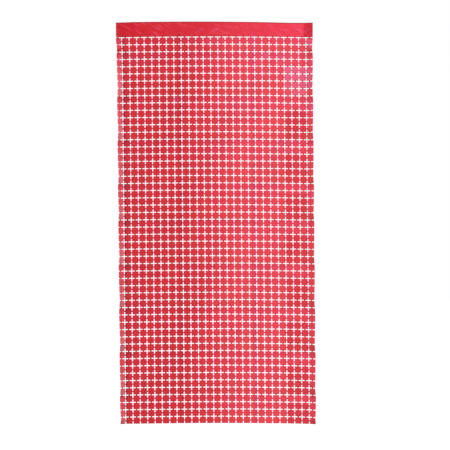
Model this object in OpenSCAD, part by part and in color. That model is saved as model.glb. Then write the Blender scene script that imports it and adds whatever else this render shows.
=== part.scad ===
// Foil square curtain. One die-cut metallic sheet, a plain band above a net of linked squares,
// hangs from a strip of double-sided tape on the back of the band.
// Millimetres. X runs to the right, Z up, and the wall is on the +Y side.
// The origin is the middle of the tape's back face, where the curtain is stuck up.

/* [Sheet] */
// Height of the plain band above the net
band_h = 74; // [40:0.5:120]
// Thickness of the foil
film_t = 0.25; // [0.1:0.05:0.5]

/* [Net] */
// Columns of squares, with the two edge columns
columns = 27; // [6:1:40]
// Distance from one column of squares to the next
col_pitch = 36.75; // [28:0.25:60]
// Distance from one row of squares to the next
row_pitch = 36.5; // [28:0.25:60]
// Width of the slots between the squares
slot_w = 4.5; // [2:0.25:10]
// Width of the links that hold the squares together
link_w = 7; // [3:0.25:12]
// Width that the cut takes off the left column's squares
left_trim = 6.25; // [0:0.25:9]

/* [Folds] */
// Rows of squares in each tier between crosswise folds, from the top down
tier_rows = [2, 6, 6, 6, 5, 6, 6, 6, 6, 4];
// Gap at each fold, where the foil itself bends
fold_gap = 0.25; // [0.2:0.05:0.6]
// Angle at which the left edge strip stands forward of the net
left_edge_tilt = 26; // [0:1:60]
// Angle at which the right edge strip stands forward of the net
right_edge_tilt = 24; // [0:1:60]
// Sideways shift from one row of squares to the next, as the sheet hangs a little askew
lean = 0.34; // [0:0.02:1]

/* [Tape] */
// Height of the tape
tape_h = 20; // [10:1:30]
// Thickness of the tape
tape_t = 0.25; // [0.1:0.05:1]
// Distance from the band's top edge down to the tape
tape_drop = 10; // [2:1:30]
// Distance from each end of the band to the tape
tape_inset = 8; // [2:1:60]

/* [Hidden] */
foil_red = [0.84, 0.20, 0.29];
tape_white = [0.93, 0.92, 0.88];
tiers = len(tier_rows);

// Two-digit number of a tier, as the node names have it.
function digits(t) = t < 10 ? str("0", t) : str(t);
function tier_name(t) = str("tier_", digits(t));
function left_name(t) = str("left_edge_", digits(t));
function right_name(t) = str("right_edge_", digits(t));

// Slot line i runs down between columns i and i + 1, counted from the left.
left_edge_w = col_pitch - slot_w / 2 - left_trim;
right_edge_w = col_pitch - slot_w / 2;
last_line = columns - 1;
sheet_w = left_edge_w + (last_line - 1) * col_pitch + right_edge_w;
sheet_left = -sheet_w / 2;
function line_x(i) = sheet_left + left_edge_w + (i - 1) * col_pitch;

// Slot row k runs across above row k of the squares, and row 0 lies right under the band.
band_top = tape_h / 2 + tape_drop;
band_bottom = band_top - band_h;
function row_z(k) = band_bottom - slot_w / 2 - k * row_pitch;
function first_row(t) = t == 1 ? 0 : first_row(t - 1) + tier_rows[t - 2];
function end_row(t) = first_row(t) + tier_rows[t - 1];

// How far the net has moved to the right at a height.
function lean_at(z) = lean * (band_bottom - z) / row_pitch;

// A tier hangs by the links above its squares. It folds at their upper ends, where the band or
// the squares of the tier above end.
function fold_z(t) = row_z(first_row(t)) + slot_w / 2;
function squares_top(t) = row_z(first_row(t)) - slot_w / 2;
function squares_bottom(t) = row_z(end_row(t)) + slot_w / 2;

// The edge strips fold where the squares of the tier beside them end.
tier_left = line_x(1) + slot_w / 2;
tier_right = line_x(last_line) - slot_w / 2;
left_crease = tier_left - fold_gap / 2;
right_crease = tier_right + fold_gap / 2;

// Takes an outline drawn in X and Z to a sheet of foil that stands upright, front face forward.
module foil() {
    color(foil_red)
        translate([0, -tape_t, 0])
            rotate([90, 0, 0])
                linear_extrude(film_t)
                    children();
}

// Stretch of the sheet between two corners, leaning as the net does.
module outline(left, bottom, right, top) {
    polygon([
        [left + lean_at(bottom), bottom], [right + lean_at(bottom), bottom],
        [right + lean_at(top), top], [left + lean_at(top), top]
    ]);
}

// Plus-shaped slot where four squares meet.
module slot() {
    half = slot_w / 2;
    across = (col_pitch - link_w) / 2;
    down = (row_pitch - link_w) / 2;
    polygon([
        [half, half], [half, down], [-half, down], [-half, half], [-across, half], [-across, -half],
        [-half, -half], [-half, -down], [half, -down], [half, -half], [across, -half], [across, half]
    ]);
}

// Stretch of net between two corners, with the slots of the lines and rows that reach it.
module net(left, bottom, right, top, line_a, line_b, row_a, row_b) {
    difference() {
        outline(left, bottom, right, top);
        for (i = [line_a:line_b], k = [row_a:row_b])
            translate([line_x(i) + lean_at(row_z(k)), row_z(k)])
                slot();
    }
}

// Plain band at the top.
module header_band() {
    foil()
        translate([sheet_left, band_bottom])
            square([sheet_w, band_h]);
}

// Strip of double-sided tape on the back of the band.
module adhesive_tape() {
    color(tape_white)
        translate([sheet_left + tape_inset, -tape_t, -tape_h / 2])
            cube([sheet_w - 2 * tape_inset, tape_t, tape_h]);
}

// Net between two crosswise folds, without its edge columns.
module tier(t) {
    foil()
        net(
            tier_left, squares_bottom(t), tier_right, fold_z(t) - fold_gap,
            1, last_line, first_row(t), end_row(t)
        );
}

// Turns an edge strip forward about its crease, which leans as the net does.
module stand_forward(crease, angle) {
    top = [crease, -tape_t - film_t / 2, band_bottom];
    translate(top)
        rotate(angle, v = [-lean, 0, row_pitch])
            translate(-top)
                children();
}

// Left edge column beside a tier, with the links that join it to the tier.
// Its squares end at the slots, clear of the strips above and below.
module left_edge(t) {
    stand_forward(left_crease, left_edge_tilt)
        foil()
            net(
                sheet_left, squares_bottom(t), tier_left - fold_gap, squares_top(t),
                0, 1, first_row(t), end_row(t)
            );
}

// Right edge column beside a tier, made as the left one is.
module right_edge(t) {
    stand_forward(right_crease, -right_edge_tilt)
        foil()
            net(
                tier_right + fold_gap, squares_bottom(t), sheet_left + sheet_w, squares_top(t),
                last_line, columns, first_row(t), end_row(t)
            );
}

header_band();
adhesive_tape();
for (t = [1:tiers]) {
    tier(t);
    left_edge(t);
    right_edge(t);
}
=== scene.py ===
"""Foil square curtain: the foil, the tape behind its band, the studio and the camera.

Metres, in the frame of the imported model: X to the right, Z up, the wall on the +Y side, and the
origin at the middle of the tape's back face. "Flat" means a place on the sheet before it was hung.
"""
import math

import bpy
import numpy as np
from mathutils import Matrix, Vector


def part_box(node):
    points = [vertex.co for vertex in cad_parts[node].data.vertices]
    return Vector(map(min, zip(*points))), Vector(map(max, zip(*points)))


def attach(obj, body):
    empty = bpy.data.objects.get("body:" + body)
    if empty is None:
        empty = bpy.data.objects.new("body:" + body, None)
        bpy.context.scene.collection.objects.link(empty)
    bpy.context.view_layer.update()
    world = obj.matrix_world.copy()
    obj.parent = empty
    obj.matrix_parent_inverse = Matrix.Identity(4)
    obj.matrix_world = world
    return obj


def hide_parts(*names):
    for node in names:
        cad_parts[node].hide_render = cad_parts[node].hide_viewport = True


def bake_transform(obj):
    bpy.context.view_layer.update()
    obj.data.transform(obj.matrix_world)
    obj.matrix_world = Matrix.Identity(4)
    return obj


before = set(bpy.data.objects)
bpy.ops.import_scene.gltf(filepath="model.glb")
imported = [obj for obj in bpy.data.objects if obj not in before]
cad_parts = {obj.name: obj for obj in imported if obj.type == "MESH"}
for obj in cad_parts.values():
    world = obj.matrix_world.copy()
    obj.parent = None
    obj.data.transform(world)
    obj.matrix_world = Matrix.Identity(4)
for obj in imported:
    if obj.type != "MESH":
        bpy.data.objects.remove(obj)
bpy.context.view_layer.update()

# ---------------------------------------------------------------- sizes of the sheet, in metres
COLUMN_PITCH = 0.03675
ROW_PITCH = 0.0365
SLOT = 0.0045
LINK = 0.007
LEFT_TRIM = 0.00625
FILM = 0.00025
LEAN = 0.00034 / ROW_PITCH
COLUMNS = 27
TIER_ROWS = (2, 6, 6, 6, 5, 6, 6, 6, 6, 4)
ROWS = sum(TIER_ROWS)
TIERS = len(TIER_ROWS)
FIRST_ROWS = [sum(TIER_ROWS[:t]) for t in range(TIERS)]
LEFT_TILT = math.radians(26)
RIGHT_TILT = math.radians(24)

# half sizes of a square, and the radius of its corners
HALF_X = (COLUMN_PITCH - SLOT) / 2
HALF_Z = (ROW_PITCH - SLOT) / 2
CORNER = 0.0012
# half a link's width at its middle and at its ends, where it flares into the squares
LINK_WAIST = LINK / 2
LINK_ROOT = LINK_WAIST + 0.0008
# shares of a link's length at which its mesh has points
LINK_STATIONS = (0.0, 0.2, 0.5, 0.8, 1.0)

BAND_LOW, BAND_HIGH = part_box("header_band")
TAPE_LOW, TAPE_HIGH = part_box("adhesive_tape")
SHEET_LEFT, SHEET_RIGHT = BAND_LOW.x, BAND_HIGH.x
BAND_BOTTOM, BAND_TOP = BAND_LOW.z, BAND_HIGH.z
FOIL_Y = (BAND_LOW.y + BAND_HIGH.y) / 2
SHEET_WIDTH = SHEET_RIGHT - SHEET_LEFT
SHEET_BOTTOM = BAND_BOTTOM - ROWS * ROW_PITCH
FIRST_LINE = SHEET_LEFT + COLUMN_PITCH - SLOT / 2 - LEFT_TRIM
LAST_LINE = FIRST_LINE + (COLUMNS - 2) * COLUMN_PITCH
LEFT_CREASE = FIRST_LINE + SLOT / 2
RIGHT_CREASE = LAST_LINE - SLOT / 2

# how much lower the sheet would hang at its very sides than in its middle
DROOP = 0.0048
# how far its upper left corner is pulled out, and how many columns and rows the pull reaches over
SPREAD = 0.0033
SPREAD_COLUMNS = 6
SPREAD_ROWS = 4

rng = np.random.default_rng(27053)


def smooth(t):
    t = np.clip(t, 0, 1)
    return t * t * (3 - 2 * t)


def line_x(i):
    """Where slot line i runs, between columns i - 1 and i."""
    return FIRST_LINE + (i - 1) * COLUMN_PITCH


def column_x(c):
    return line_x(c) + COLUMN_PITCH / 2


def row_z(k):
    """Middle of the squares in row k."""
    return BAND_BOTTOM - SLOT - HALF_Z - k * ROW_PITCH


def fold_z(t):
    """Where tier t folds, at the upper ends of its links."""
    return BAND_BOTTOM - FIRST_ROWS[t] * ROW_PITCH


def lean_at(z):
    return LEAN * np.maximum(BAND_BOTTOM - z, 0)


def droop_at(x):
    """How much lower than its middle the sheet hangs towards its sides."""
    across = np.clip(x, LEFT_CREASE, RIGHT_CREASE) / (SHEET_WIDTH / 2)
    return DROOP * across ** 2


def spread_at(x, z):
    """How far the sheet's upper left corner is pulled out to the left."""
    left = smooth((line_x(SPREAD_COLUMNS) - x) / (line_x(SPREAD_COLUMNS) - SHEET_LEFT))
    return -SPREAD * left * smooth(1 - (BAND_BOTTOM - z) / (SPREAD_ROWS * ROW_PITCH))


# ---------------------------------------------------------------- how the foil hangs
# Small tilts, as slopes, and dome, in metres, of each square. The first row of each table stands
# for the band, which is flat.
SLOPE = 0.018
DOME_MEAN = 0.00010
DOME_SPREAD = 0.00016
TILT_X = np.vstack([np.zeros(COLUMNS), rng.normal(0, SLOPE, (ROWS, COLUMNS))])
TILT_Z = np.vstack([np.zeros(COLUMNS), rng.normal(0, SLOPE, (ROWS, COLUMNS))])
DOME = np.vstack([np.zeros(COLUMNS), rng.normal(DOME_MEAN, DOME_SPREAD, (ROWS, COLUMNS))])
# A patch of squares at the right is tipped back.
TIPPED_ROWS = slice(5, 9)
TIPPED_COLUMNS = slice(23, 27)
TIPPED_SLOPE = 0.17
TILT_Z[TIPPED_ROWS, TIPPED_COLUMNS] -= TIPPED_SLOPE
# The band's upper edge isn't cut quite straight: where it is high or low, in columns and metres.
BAND_EDGE = (
    (0, -0.0006), (2.5, 0.0010), (7, 0.0009), (13, 0.0),
    (20, -0.0015), (24, -0.0032), (27, -0.0010),
)
# height of its upper edge that curls forward, and how far forward that comes
CURL = 0.003
CURL_RISE = 0.0012
# how far forward its right end comes, beyond the last crease
END_RISE = 0.0040
# the creases that show in it, as slot lines, and how far each stands out at the band's foot
BAND_CREASES = (1, 9, 26)
BAND_CREASE_RISE = 0.0022
# Short slanting wrinkles in the band: where each starts, how it slants, half its width, how far
# it stands out, and the share of the height below the tape that it spans.
band_rng = np.random.default_rng(68)
BAND_WRINKLES = [
    (band_rng.uniform(SHEET_LEFT, SHEET_RIGHT), band_rng.uniform(-1.6, 1.6),
     band_rng.uniform(0.005, 0.012), band_rng.uniform(-0.0008, 0.0012),
     band_rng.uniform(-0.2, 0.4), band_rng.uniform(0.6, 1.2))
    for _ in range(44)
]
# How far each tier bulges forward between its folds, more in a longer tier.
TIER_BULGE = (0.0024 + rng.uniform(-0.0006, 0.0008, TIERS)) * np.array(TIER_ROWS) / max(TIER_ROWS)
# The sheet's lengthwise creases: where each runs, in columns from the left, and how far forward
# the sheet stands there. Between two creases it is straight.
CREASES = (
    (1, 0.0), (2, 0.0034), (5, 0.0026), (8.62, 0.0010), (8.92, 0.0032), (13, 0.0012),
    (18.62, -0.0014), (18.92, -0.0002), (23, 0.0010), (26, 0.0010),
)
# Beyond crease 23 the sheet turns forward below the upper rows of each tier, from the third tier
# down.
TURN_LINE = 23
TURN = 0.0015
TURNED_TIER = 2
TURN_SHARES = (0, 0.2, 0.5, 0.75, 1)
TURN_HEIGHTS = (0, 0, 1, 1, 0)
# Long slack waves across the net: how many to a metre across and down, and the phase of each.
WAVE_HEIGHT = 0.0009
WAVES = [
    (rng.uniform(1.2, 3.6), rng.uniform(0.6, 2.4), rng.uniform(0, 2 * math.pi))
    for _ in range(5)
]
# The net is flat right under the band. Its creases and waves have come in fully this far down,
# and a tier's bulge this far down. The waves die out over this distance from the sheet's sides.
FREE_DEPTH = 0.25
BULGE_DEPTH = 0.02
CALM_EDGE = 0.12
# An edge strip swings back at the head of a tier and forward at its foot. On each side it has a
# share of its tilt throughout, and the swing takes another share away or adds it.
SWING_SHARES = (0, 0.12, 0.84, 1)
SWING = (0, -1, 1, 0)
LEFT_SWING = (0.87, 0.52)
RIGHT_SWING = (0.95, 0.40)


def tier_share(z):
    """Tier of each height, and how far down that tier it is, from 0 to 1."""
    tops = np.array([fold_z(t) for t in range(TIERS)] + [SHEET_BOTTOM])
    tier = np.clip(np.searchsorted(-tops, -z, side="right") - 1, 0, TIERS - 1)
    return tier, np.clip((tops[tier] - z) / (tops[tier] - tops[tier + 1]), 0, 1)


def forward(x, z):
    """How far in front of its flat plane the sheet hangs at a flat place."""
    x = np.clip(x, LEFT_CREASE, RIGHT_CREASE)
    depth = BAND_BOTTOM - z
    free = smooth(depth / FREE_DEPTH)
    lines, heights = zip(*CREASES)
    crease = np.interp(x, [line_x(i) for i in lines], heights)
    tier, share = tier_share(z)
    bulge = TIER_BULGE[tier] * 4 * share * (1 - share)
    wave = sum(
        WAVE_HEIGHT * np.sin(2 * math.pi * (a * (x - SHEET_LEFT) + b * depth) + phase)
        for a, b, phase in WAVES
    )
    inner = smooth((x - SHEET_LEFT) / CALM_EDGE) * smooth((SHEET_RIGHT - x) / CALM_EDGE)
    beyond = np.clip((x - line_x(TURN_LINE)) / (RIGHT_CREASE - line_x(TURN_LINE)), 0, 1)
    turn = TURN * beyond * np.interp(share, TURN_SHARES, TURN_HEIGHTS)
    turn = turn * (tier >= TURNED_TIER)
    return free * (crease + wave * inner + turn) + bulge * smooth(depth / BULGE_DEPTH)


def square_lift(column, row, x, z):
    """How far a square's own tilt and dome move a place that belongs to it."""
    u = np.clip((x - column_x(column)) / HALF_X, -1, 1)
    v = np.clip((z - row_z(row)) / HALF_Z, -1, 1)
    at = (row + 1, column)
    return TILT_X[at] * u * HALF_X + TILT_Z[at] * v * HALF_Z + DOME[at] * (u * u + v * v)


# ---------------------------------------------------------------- mesh of the net
def square_lines(half, cut_low=0.0):
    """Grid lines across a square, from its low side, which may be cut off, to its high side."""
    between = 0.66 * half
    high = [LINK_ROOT, between, half - CORNER, half]
    low = [-half + cut_low, -LINK_ROOT] if cut_low else [-v for v in reversed(high)]
    return np.array(low + high)


def round_corner(u, v, cut):
    """Moves the grid of a square's corners onto arcs. A corner that was cut off stays sharp."""
    du = np.abs(u) - (HALF_X - CORNER)
    dv = np.abs(v) - (HALF_Z - CORNER)
    corner = (du > 0) & (dv > 0) & ~(cut & (u < 0))
    length = np.where(corner, np.hypot(du, dv), 1)
    reach = np.maximum(du, dv)
    u = np.where(corner, np.sign(u) * (HALF_X - CORNER + du / length * reach), u)
    v = np.where(corner, np.sign(v) * (HALF_Z - CORNER + dv / length * reach), v)
    return u, v


def grid_quads(columns, rows):
    """Quads of a grid whose points are numbered along its rows."""
    corner = (np.arange(rows - 1)[:, None] * columns + np.arange(columns - 1)).ravel()
    return np.stack([corner, corner + 1, corner + columns + 1, corner + columns], 1)


class Patch:
    """Quads of one piece of foil. Each corner has a flat place, the two squares that it lies
    between, and its share of the way from the first to the second."""

    def __init__(self):
        # x, z, column and row of the first square, column and row of the second, and the share
        self.corners = []
        self.quads = []

    def grid(self, x, z, first, second, share):
        rows, columns = x.shape
        start = len(self.corners)
        share = np.broadcast_to(share, x.shape)
        for j in range(rows):
            for i in range(columns):
                self.corners.append((x[j, i], z[j, i], *first, *second, share[j, i]))
        self.quads.extend(start + grid_quads(columns, rows))

    def square(self, column, row):
        cut = LEFT_TRIM if column == 0 else 0.0
        u, v = np.meshgrid(square_lines(HALF_X, cut), square_lines(HALF_Z))
        u, v = round_corner(u, v, column == 0)
        self.grid(column_x(column) + u, row_z(row) + v, (column, row), (column, row), 0.0)

    def link(self, column, row, other_column, other_row):
        """The link from a square up to the one above it, or left to the one beside it."""
        along = np.array(LINK_STATIONS)
        waist = np.sin(math.pi * along) ** 0.5
        half = LINK_ROOT + (LINK_WAIST - LINK_ROOT) * waist
        if other_row != row:
            z = row_z(row) + HALF_Z + along * SLOT
            x = column_x(column) + np.stack([-half, half], 1)
            z = np.stack([z, z], 1)
        else:
            x = column_x(column) - HALF_X - along * SLOT
            z = row_z(row) + np.stack([-half, half], 1)
            x = np.stack([x, x], 1)[:, ::-1]
            z = z[:, ::-1]
        share = np.stack([along, along], 1)
        self.grid(x, z, (column, row), (other_column, other_row), share)

    def merged(self):
        """Corners at one flat place become one, keeping a square's own corner over a link's."""
        data = np.array(self.corners, float)
        data[:, -1] = smooth(data[:, -1])
        tenths_of_micrometres = 1e7
        key = np.round(data[:, :2] * tenths_of_micrometres).astype(np.int64)
        _, keep, inverse = np.unique(key, axis=0, return_index=True, return_inverse=True)
        return data[keep], np.asarray(inverse).reshape(-1)[np.array(self.quads)]


def place(flat_x, flat_z, lift):
    """Where points of the sheet are, midway through the film, at a lift in front of its shape."""
    base = forward(flat_x, flat_z)
    x = flat_x.copy()
    y = -(base + lift)
    for crease, side, tilt in ((LEFT_CREASE, -1, LEFT_TILT), (RIGHT_CREASE, 1, RIGHT_TILT)):
        beyond = side * (flat_x - crease) > 0
        out = np.abs(flat_x - crease)
        angle = tilt * edge_swing(flat_z, side)
        x = np.where(beyond, crease + side * (out * np.cos(angle) - lift * np.sin(angle)), x)
        y = np.where(beyond, -(base + out * np.sin(angle) + lift * np.cos(angle)), y)
    x = x + lean_at(flat_z) + spread_at(flat_x, flat_z)
    return np.stack([x, FOIL_Y + y, flat_z - droop_at(flat_x)], 1)


def edge_swing(z, side):
    """Share of its tilt at which the edge strip on a side stands at a height."""
    _, share = tier_share(z)
    always, more = LEFT_SWING if side < 0 else RIGHT_SWING
    return always + more * np.interp(share, SWING_SHARES, SWING)


def quad_normals(points, quads):
    """Direction in which the sheet faces at each point, from the quads around it."""
    a, b, c, d = (points[quads[:, i]] for i in range(4))
    normal = np.cross(c - a, d - b)
    total = np.zeros_like(points)
    for i in range(4):
        np.add.at(total, quads[:, i], normal)
    return total / np.linalg.norm(total, axis=1, keepdims=True)


def solid(name, middle, quads, flat, material, thickness=FILM):
    """A closed mesh around a sheet's middle. Each point keeps its flat place for the material."""
    normal = quad_normals(middle, quads)
    n = len(middle)
    points = np.vstack([middle + normal * thickness / 2, middle - normal * thickness / 2])
    edges = [(a, b) for quad in quads for a, b in zip(quad, np.roll(quad, -1))]
    known = set(edges)
    rim = [(b, a, a + n, b + n) for a, b in edges if (b, a) not in known]
    faces = np.vstack([quads, quads[:, ::-1] + n, np.array(rim)])
    mesh = bpy.data.meshes.new(name)
    mesh.from_pydata(points.tolist(), [], faces.tolist())
    mesh.polygons.foreach_set("use_smooth", np.arange(len(faces)) < 2 * len(quads))
    attribute = mesh.attributes.new("flat", "FLOAT_VECTOR", "POINT")
    attribute.data.foreach_set("vector", np.vstack([flat, flat]).astype(np.float32).ravel())
    mesh.materials.append(material)
    mesh.validate()
    piece = bpy.data.objects.new(name, mesh)
    bpy.context.scene.collection.objects.link(piece)
    return piece


def flat_attribute(x, z):
    """Flat place, with the share of its tier in the third place."""
    _, share = tier_share(z)
    return np.stack([x, z, share], 1)


# ---------------------------------------------------------------- materials
def nodes_of(name):
    material = bpy.data.materials.new(name)
    material.use_nodes = True
    tree = material.node_tree
    shader = tree.nodes["Principled BSDF"]
    return material, tree, shader


def math_node(tree, operation, a, b=0.0, c=0.0, clamp=False):
    node = tree.nodes.new("ShaderNodeMath")
    node.operation = operation
    node.use_clamp = clamp
    for socket, value in zip(node.inputs, (a, b, c)):
        if isinstance(value, bpy.types.NodeSocket):
            tree.links.new(value, socket)
        else:
            socket.default_value = value
    return node.outputs[0]


def mix_colour(tree, factor, a, b, blend="MIX"):
    node = tree.nodes.new("ShaderNodeMix")
    node.data_type = "RGBA"
    node.blend_type = blend
    for socket, value in ((node.inputs[0], factor), (node.inputs[6], a), (node.inputs[7], b)):
        if isinstance(value, bpy.types.NodeSocket):
            tree.links.new(value, socket)
        elif isinstance(value, tuple):
            socket.default_value = (*value, 1.0)
        else:
            socket.default_value = value
    return node.outputs[2]


def grey(tree, value):
    node = tree.nodes.new("ShaderNodeCombineXYZ")
    for socket in node.inputs:
        tree.links.new(value, socket)
    return node.outputs[0]


def noise(tree, vector, scale, detail=2.0, roughness=0.5):
    node = tree.nodes.new("ShaderNodeTexNoise")
    tree.links.new(vector, node.inputs["Vector"])
    node.inputs["Scale"].default_value = scale
    node.inputs["Detail"].default_value = detail
    node.inputs["Roughness"].default_value = roughness
    return node.outputs["Fac"]


def times(tree, a, b):
    return math_node(tree, "MULTIPLY", a, b)


def minus(tree, a, b):
    return math_node(tree, "SUBTRACT", a, b)


def fading(tree, value, reach):
    """1 where a value is 0, fading to 0 where it has the size of its reach."""
    return math_node(tree, "SUBTRACT", 1.0, math_node(tree, "DIVIDE", value, reach), clamp=True)


def stripe(tree, value, middle, half_width):
    """1 on a line, fading to 0 at half_width from it."""
    return fading(tree, math_node(tree, "ABSOLUTE", minus(tree, value, middle)), half_width)


def mark(tree, colour, where, strength, ink):
    """Lays another colour over the film where a mask is 1, at a strength from 0 to 1."""
    return mix_colour(tree, times(tree, where, strength), colour, ink)


def ramp(tree, value, low, high, stops):
    """A grey scale or colour along a value. Stops are places between low and high."""
    node = tree.nodes.new("ShaderNodeValToRGB")
    share = math_node(tree, "DIVIDE", minus(tree, value, low), high - low)
    tree.links.new(share, node.inputs[0])
    points = node.color_ramp.elements
    for index, (place_at, colour) in enumerate(stops):
        point = points[index] if index < len(points) else points.new(1.0)
        point.position = (place_at - low) / (high - low)
        point.color = (*colour, 1.0) if isinstance(colour, tuple) else (colour, colour, colour, 1.0)
    return node.outputs[0]


# colours of the foil, linear
DEEP_RED = (0.67, 0.017, 0.035)
# red of the net's right half, lighter there as painted reflection
BRIGHT_RED = (0.83, 0.047, 0.080)
PINK_TINT = (1.0, 0.90, 1.08)
ORANGE_TINT = (1.0, 1.10, 0.93)
# pink of the painted highlight on the left edge column
HIGHLIGHT_PINK = (0.80, 0.20, 0.26)
# colours of the band along its length, each with the column that it lies at. They get lighter to the
# right as painted reflection and darker at the right end as painted shade.
BAND_REDS = (
    (0, (0.62, 0.003, 0.015)), (5, (0.70, 0.010, 0.023)), (12, (0.72, 0.016, 0.035)),
    (17, (0.82, 0.030, 0.052)), (22, (0.86, 0.031, 0.068)), (25.6, (0.90, 0.045, 0.085)),
    (25.8, (0.72, 0.014, 0.036)), (27, (0.66, 0.016, 0.040)),
)
# light red of the band's streaks of painted highlight
BAND_HIGHLIGHT = (0.95, 0.10, 0.16)
BAND_SHADE = (0.46, 0.001, 0.006)
# dark red laid on as painted shade at creases and folds, and on the band's upper edge
SHADE_AND_RIM_DARK = (0.22, 0.008, 0.014)
VIOLET = (0.50, 0.020, 0.20)
# colours of the tape
TAPE_DULL = (0.80, 0.79, 0.72)
TAPE_LIGHT = (0.92, 0.91, 0.87)

# lowest roughness of the film, and how much higher it goes
ROUGH_LOW = 0.18
ROUGH_RANGE = 0.10
# lowest factor on the net's colour in small patches, and how much higher it goes
MOTTLE_LOW = 0.88
MOTTLE_RANGE = 0.24
# how pale the painted highlight makes the left edge column at the head of a tier, and how much more
# so at its foot
PALE_AT_HEAD = 0.12
PALER_AT_FOOT = 0.60
# share of a tier from which painted shade makes its right-hand columns deeper red, and over which
# they become so
TURN_SHADE_FROM = 0.27
TURN_SHADE_OVER = 0.1
# length and width of the band's painted highlight streaks, in metres, which slant down to the right
STREAK_SIZE = (0.045, 0.009, 1.0)
STREAK_SLANT = math.radians(-28)
# how far beside its slot line the painted shade of a crease lies
CREASE_SHADE_OFFSET = 0.0055
# painted shade at lengthwise creases: slot line, side of it, half the shade's width, and its strength
CREASE_SHADES = (
    (1, 1, 0.006, 0.90), (9, -1, 0.006, 0.45), (23, -1, 0.004, 0.3), (26, -1, 0.004, 0.3),
)
VIOLET_PLACE = line_x(19) - 0.0060


def flat_place(tree):
    """The flat place that each point of the mesh keeps."""
    node = tree.nodes.new("ShaderNodeAttribute")
    node.attribute_name = "flat"
    return node.outputs["Vector"]


def streaks(tree, flat):
    """Coordinates that draw noise out into slanting streaks."""
    node = tree.nodes.new("ShaderNodeMapping")
    node.vector_type = "TEXTURE"
    tree.links.new(flat, node.inputs["Vector"])
    node.inputs["Rotation"].default_value = (0, 0, STREAK_SLANT)
    node.inputs["Scale"].default_value = STREAK_SIZE
    return node.outputs[0]


def bump(tree, shader, height, distance, strength):
    node = tree.nodes.new("ShaderNodeBump")
    node.inputs["Distance"].default_value = distance
    node.inputs["Strength"].default_value = strength
    tree.links.new(height, node.inputs["Height"])
    tree.links.new(node.outputs[0], shader.inputs["Normal"])


def net_red(tree, flat, x, z, share):
    """Red of the net. Share is how far down its tier a place lies, from 0 to 1."""
    # The red is deeper on the left half of the sheet than on the right: painted reflection, for the
    # light that the right half reflects.
    across = tree.nodes.new("ShaderNodeMapRange")
    across.interpolation_type = "SMOOTHSTEP"
    tree.links.new(x, across.inputs["Value"])
    across.inputs["From Min"].default_value = line_x(8)
    across.inputs["From Max"].default_value = line_x(19)
    colour = mix_colour(tree, across.outputs["Result"], DEEP_RED, BRIGHT_RED)
    # Within each tier it drifts from pinkish red at the top to orange red at the foot.
    cloud = minus(tree, noise(tree, flat, scale=9), 0.5)
    drift = math_node(tree, "ADD", share, times(tree, cloud, 0.9), clamp=True)
    tint = mix_colour(tree, drift, PINK_TINT, ORANGE_TINT)
    colour = mix_colour(tree, 1.0, colour, tint, "MULTIPLY")
    # Small patches are a little lighter or darker.
    patches = noise(tree, flat, scale=26, detail=1)
    mottle = math_node(tree, "ADD", MOTTLE_LOW, times(tree, patches, MOTTLE_RANGE))
    colour = mix_colour(tree, 1.0, colour, grey(tree, mottle), "MULTIPLY")
    # Below the first tier the left edge column is paler, most of all at the foot of each tier:
    # painted highlight on its tilted strip.
    below = math_node(tree, "LESS_THAN", z, fold_z(1))
    edge = times(tree, below, math_node(tree, "LESS_THAN", x, line_x(1)))
    squared = math_node(tree, "POWER", share, 2.0)
    pale = math_node(tree, "MULTIPLY_ADD", squared, PALER_AT_FOOT, PALE_AT_HEAD)
    colour = mix_colour(tree, times(tree, edge, pale), colour, HIGHLIGHT_PINK)
    # Where the sheet turns forward at the right it is painted deeper red, as painted shade.
    right = times(tree, math_node(tree, "GREATER_THAN", x, line_x(TURN_LINE)),
                  math_node(tree, "LESS_THAN", x, line_x(COLUMNS - 1)))
    turned = times(tree, right, math_node(tree, "LESS_THAN", z, fold_z(TURNED_TIER)))
    lower = math_node(tree, "DIVIDE", minus(tree, share, TURN_SHADE_FROM), TURN_SHADE_OVER, clamp=True)
    return mark(tree, colour, times(tree, turned, lower), strength=0.62, ink=DEEP_RED)


def band_red(tree, flat, x):
    """Reds of the band, painted lighter to the right and darker at its right end, with slanting
    streaks of painted highlight and dark flecks of painted shade.
    """
    stops = [(line_x(at), red) for at, red in BAND_REDS]
    colour = ramp(tree, x, line_x(0), line_x(COLUMNS), stops)
    drawn_out = noise(tree, streaks(tree, flat), scale=1)
    light = math_node(tree, "MULTIPLY_ADD", drawn_out, 5.0, -2.7, clamp=True)
    colour = mark(tree, colour, light, strength=0.45, ink=BAND_HIGHLIGHT)
    fine = noise(tree, flat, scale=120)
    dark = math_node(tree, "MULTIPLY_ADD", fine, -6.0, 2.75, clamp=True)
    return mark(tree, colour, dark, strength=0.45, ink=BAND_SHADE)


def painted_shade_and_marks(tree, colour, x, z, share):
    """Painted shade along the creases and folds, and the dark upper edge of the band."""
    # Painted shade lies in dark stripes beside the lengthwise creases, and one crease has a violet
    # cast. Towards the tape they fade.
    below_tape = math_node(
        tree, "DIVIDE", minus(tree, TAPE_LOW.z, z), TAPE_LOW.z - BAND_BOTTOM, clamp=True)
    for line, side, half_width, strength in CREASE_SHADES:
        dark = stripe(tree, x, line_x(line) + side * CREASE_SHADE_OFFSET, half_width)
        colour = mark(tree, colour, times(tree, dark, below_tape), strength, SHADE_AND_RIM_DARK)
    violet = times(tree, stripe(tree, x, VIOLET_PLACE, half_width=0.007), below_tape)
    colour = mark(tree, colour, violet, strength=0.42, ink=VIOLET)
    # Painted shade darkens the top of the row below each crosswise fold, most of all at the left.
    colour = mark(tree, colour, fading(tree, share, reach=0.11), strength=0.20, ink=SHADE_AND_RIM_DARK)
    left = stripe(tree, x, column_x(1), half_width=0.030)
    left_fold_shade = times(tree, fading(tree, share, reach=0.18), left)
    colour = mark(tree, colour, left_fold_shade, strength=0.62, ink=SHADE_AND_RIM_DARK)
    rim = math_node(tree, "GREATER_THAN", z, BAND_TOP - CURL)
    return mark(tree, colour, rim, strength=0.85, ink=SHADE_AND_RIM_DARK)


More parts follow.
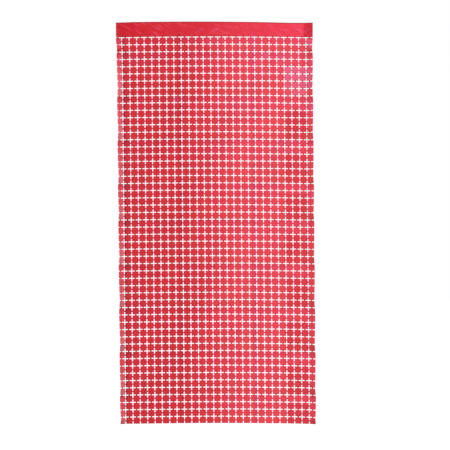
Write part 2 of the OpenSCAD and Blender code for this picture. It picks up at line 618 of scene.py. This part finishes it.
def foil_material():
    material, tree, shader = nodes_of("red_metallised_film")
    flat = flat_place(tree)
    split = tree.nodes.new("ShaderNodeSeparateXYZ")
    tree.links.new(flat, split.inputs[0])
    x, z, share = split.outputs

    in_band = math_node(tree, "GREATER_THAN", z, BAND_BOTTOM)
    net = net_red(tree, flat, x, z, share)
    colour = mix_colour(tree, in_band, net, band_red(tree, flat, x))
    tree.links.new(painted_shade_and_marks(tree, colour, x, z, share), shader.inputs["Base Color"])

    shader.inputs["Metallic"].default_value = 1.0
    uneven = times(tree, noise(tree, flat, scale=60, detail=3), ROUGH_RANGE)
    tree.links.new(math_node(tree, "ADD", ROUGH_LOW, uneven), shader.inputs["Roughness"])
    shader.inputs["Coat Weight"].default_value = 0.4
    shader.inputs["Coat Roughness"].default_value = 0.10

    # Fine crinkles of thin film.
    coarse = noise(tree, flat, scale=45, detail=4, roughness=0.6)
    fine = times(tree, noise(tree, flat, scale=220), 0.3)
    crinkle = math_node(tree, "ADD", coarse, fine)
    bump(tree, shader, crinkle, distance=0.0006, strength=0.22)
    return material


def tape_material():
    material, tree, shader = nodes_of("tape_adhesive")
    flat = flat_place(tree)
    cloud = noise(tree, flat, scale=35, detail=4)
    colour = mix_colour(tree, cloud, TAPE_DULL, TAPE_LIGHT)
    tree.links.new(colour, shader.inputs["Base Color"])
    shader.inputs["Roughness"].default_value = 0.55
    grain = noise(tree, flat, scale=400, detail=3)
    bump(tree, shader, grain, distance=0.0002, strength=0.4)
    return material


FOIL = foil_material()
TAPE = tape_material()


# ---------------------------------------------------------------- pieces
# share of a tier that the band's points keep for the material, clear of the painted shade at a fold
BAND_SHARE = 0.35
# points of the band's mesh along it, and up it to where its edge curls, and of the tape's mesh
BAND_POINTS = (361, 18)
TAPE_POINTS = (161, 5)


def band_piece():
    """The plain band: held flat by the tape, with wrinkles that start below it."""
    creases = [line_x(i) for i in BAND_CREASES]
    across = np.unique(np.append(np.linspace(SHEET_LEFT, SHEET_RIGHT, BAND_POINTS[0]), creases))
    up = np.linspace(BAND_BOTTOM, BAND_TOP - CURL, BAND_POINTS[1])
    up = np.append(up, (BAND_TOP - CURL / 2, BAND_TOP))
    x, z = (v.ravel() for v in np.meshgrid(across, up))

    # The band is free of the tape from this far below it.
    come_in = 0.012
    below_tape = smooth((TAPE_LOW.z - z) / come_in)
    height = (z - BAND_BOTTOM) / (TAPE_LOW.z - BAND_BOTTOM)
    # Fine slanting ripples run all along it, then come the single wrinkles, then the creases.
    ripple = 0.00016
    diagonal = x * 0.8 + z * 1.9
    wrinkle = ripple * (1 + np.sin(diagonal * 95 + 1.8 * np.sin(x * 14)))
    for start, slant, half_width, rise, low, high in BAND_WRINKLES:
        away = np.abs(x - start - slant * (z - BAND_BOTTOM)) / half_width
        along = smooth((height - low) / 0.2) * smooth((high - height) / 0.2)
        wrinkle = wrinkle + rise * smooth(1 - away) * along
    left_by, half_width = 0.002, 0.006
    for crease in creases:
        ridge = np.clip(1 - np.abs(x - crease + left_by) / half_width, 0, 1)
        wrinkle = wrinkle + BAND_CREASE_RISE * ridge * np.clip(1 - height / 0.8, 0, 1)
    forward_by = wrinkle * below_tape * smooth(height * 6)
    forward_by += CURL_RISE * smooth((z - BAND_TOP + CURL) / CURL)
    last = line_x(COLUMNS - 1)
    forward_by += END_RISE * np.clip((x - last) / (SHEET_RIGHT - last), 0, 1) ** 1.5
    at, cut = zip(*BAND_EDGE)
    share_up = np.clip((z - BAND_BOTTOM) / (BAND_TOP - BAND_BOTTOM), 0, 1)
    uneven = np.interp(x, [line_x(i) for i in at], cut) * share_up ** 2
    middle = np.stack([x + spread_at(x, z), FOIL_Y - forward_by, z - droop_at(x) + uneven], 1)
    flat = np.stack([x, z, np.full_like(x, BAND_SHARE)], 1)
    return solid("foil_band", middle, grid_quads(len(across), len(up)), flat, FOIL)


def tape_piece():
    """The strip of tape, whose long edges waver a little."""
    columns, rows = TAPE_POINTS
    x, up = np.meshgrid(np.linspace(TAPE_LOW.x, TAPE_HIGH.x, columns), np.linspace(0, 1, rows))
    inset = 0.0006
    waver = 0.0003 * np.sin(x * 61) + 0.0002 * np.sin(x * 143 + 1)
    z = TAPE_LOW.z + inset + (TAPE_HIGH.z - TAPE_LOW.z - 2 * inset) * up + waver * (2 * up - 1)
    x, z = x.ravel(), z.ravel()
    middle = np.stack([x, np.full_like(x, (TAPE_LOW.y + TAPE_HIGH.y) / 2), z], 1)
    flat = np.stack([x, z, np.zeros_like(x)], 1)
    thickness = (TAPE_HIGH.y - TAPE_LOW.y) * 0.96
    return solid("tape_strip", middle, grid_quads(columns, rows), flat, TAPE, thickness)


def net_piece(name, columns, rows, left_links=False, right_links=False):
    """A stretch of net: its squares, the links above and between them, and links at its sides."""
    patch = Patch()
    for row in rows:
        for column in columns:
            patch.square(column, row)
            patch.link(column, row, column, row - 1)
            if column > columns[0] or left_links:
                patch.link(column, row, column - 1, row)
    if right_links:
        for row in rows:
            patch.link(columns[-1] + 1, row, columns[-1], row)
    data, quads = patch.merged()
    x, z = data[:, 0], data[:, 1]
    first, second = data[:, 2:4].astype(int), data[:, 4:6].astype(int)
    share = data[:, -1]
    lift = (1 - share) * square_lift(first[:, 0], first[:, 1], x, z)
    lift += share * square_lift(second[:, 0], second[:, 1], x, z)
    return solid(name, place(x, z, lift), quads, flat_attribute(x, z), FOIL)


def declare(node):
    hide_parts(node)


band = band_piece()
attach(band, "header")
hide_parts("header_band")

tape = tape_piece()
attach(tape, "header")
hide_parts("adhesive_tape")

INNER = list(range(1, COLUMNS - 1))
for t, count in enumerate(TIER_ROWS):
    number = f"{t + 1:02d}"
    tier_body = f"tier_{number}"
    rows = list(range(FIRST_ROWS[t], FIRST_ROWS[t] + count))

    net = net_piece(f"foil_tier_{number}", INNER, rows)
    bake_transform(net)
    declare(tier_body)

    for side, outward, crease, tilt, column, width in (
        ("left", -1, LEFT_CREASE, LEFT_TILT, 0, LEFT_CREASE - SHEET_LEFT),
        ("right", 1, RIGHT_CREASE, RIGHT_TILT, COLUMNS - 1, SHEET_RIGHT - RIGHT_CREASE),
    ):
        node = f"{side}_edge_{number}"
        at_left = side == "left"
        strip = net_piece(f"foil_{node}", [column], rows, not at_left, at_left)
        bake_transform(strip)
        declare(node)


# ---------------------------------------------------------------- studio and camera
# The camera looks straight at the sheet. Its view is this wide, and its middle is this far right
# of the sheet's middle and this far below the band.
CAMERA_DISTANCE = 6.0
FRAME_WIDTH = 2.2522
CAMERA_RIGHT = 0.0518
CAMERA_DOWN = 0.9437
# half the floor's side, and how far below the sheet it lies
FLOOR_REACH = 14.0
FLOOR_GAP = 0.30
# Brightness of the surroundings that the foil sees: around it, in degrees from the front to the
# right, and up, in degrees above the floor, where one stop is a lilac light.
LILAC = (1.0, 2.1, 2.8)
AROUND = (
    (-180, 0.90), (-120, 0.50), (-75, 0.75), (-52, 0.92), (-22, 0.90), (-6, 0.94), (0, 1.0),
    (6, 1.05), (15, 1.12), (35, 0.95), (68, 1.0), (90, 1.50), (115, 0.45), (180, 0.90),
)
UPWARD = (
    (-90, 0.45), (-40, 0.50), (-20, 0.88), (-11, 1.0), (17, 1.0), (20, LILAC), (28, LILAC),
    (34, 0.75), (52, 1.50), (90, 1.0),
)


def camera():
    data = bpy.data.cameras.new("camera")
    data.sensor_width = 36
    shot = bpy.data.objects.new("camera", data)
    bpy.context.scene.collection.objects.link(shot)
    middle_x = (SHEET_LEFT + SHEET_RIGHT) / 2
    centre = Vector((middle_x + CAMERA_RIGHT, 0, BAND_BOTTOM - CAMERA_DOWN))
    data.lens = data.sensor_width * CAMERA_DISTANCE / FRAME_WIDTH
    shot.location = centre + Vector((0, -CAMERA_DISTANCE, 0))
    shot.rotation_euler = (math.radians(90), 0, 0)
    bpy.context.scene.camera = shot


def area_light(name, place_at, aim, size, power):
    data = bpy.data.lights.new(name, "AREA")
    data.shape = "RECTANGLE"
    data.size, data.size_y = size
    data.energy = power
    lamp = bpy.data.objects.new(name, data)
    bpy.context.scene.collection.objects.link(lamp)
    lamp.location = place_at
    lamp.rotation_euler = (Vector(aim) - Vector(place_at)).to_track_quat("-Z", "Y").to_euler()


def studio():
    """White surroundings, which the foil sees as pale walls with darker gaps, and two soft lights."""
    world = bpy.data.worlds.new("studio")
    world.use_nodes = True
    tree = world.node_tree
    background = tree.nodes["Background"]
    direction = tree.nodes.new("ShaderNodeTexCoord").outputs["Generated"]
    split = tree.nodes.new("ShaderNodeSeparateXYZ")
    tree.links.new(direction, split.inputs[0])
    right, away, up = split.outputs
    turn = math_node(tree, "ARCTAN2", right, times(tree, away, -1.0))
    around = ramp(tree, math_node(tree, "DEGREES", turn), -180, 180, AROUND)
    rise = math_node(tree, "DEGREES", math_node(tree, "ARCSINE", up))
    over = ramp(tree, rise, -90, 90, UPWARD)
    seen = mix_colour(tree, 1.0, around, over, "MULTIPLY")
    path = tree.nodes.new("ShaderNodeLightPath")
    tree.links.new(mix_colour(tree, path.outputs["Is Glossy Ray"], (1.0, 1.0, 1.0), seen),
                   background.inputs["Color"])
    bpy.context.scene.world = world

    floor_mesh = bpy.data.meshes.new("floor")
    corners = [
        (x * FLOOR_REACH, y * FLOOR_REACH, SHEET_BOTTOM - FLOOR_GAP)
        for x, y in ((-1, -1), (1, -1), (1, 1), (-1, 1))
    ]
    floor_mesh.from_pydata(corners, [], [(0, 1, 2, 3)])
    floor_material, _, shader = nodes_of("floor_paper")
    shader.inputs["Base Color"].default_value = (0.95, 0.95, 0.95, 1)
    shader.inputs["Roughness"].default_value = 0.9
    shader.inputs["Emission Color"].default_value = (1, 1, 1, 1)
    shader.inputs["Emission Strength"].default_value = 0.12
    floor_mesh.materials.append(floor_material)
    floor = bpy.data.objects.new("floor", floor_mesh)
    bpy.context.scene.collection.objects.link(floor)
    floor.visible_glossy = False

    middle = (0, 0, SHEET_BOTTOM / 2)
    area_light("softbox_right", (3.0, -2.4, 1.4), middle, (2.6, 2.2), 5)
    area_light("softbox_top", (0, -1.6, 2.0), middle, (2.0, 1.2), 10)
    bpy.context.scene.view_settings.view_transform = "Standard"


camera()
studio()
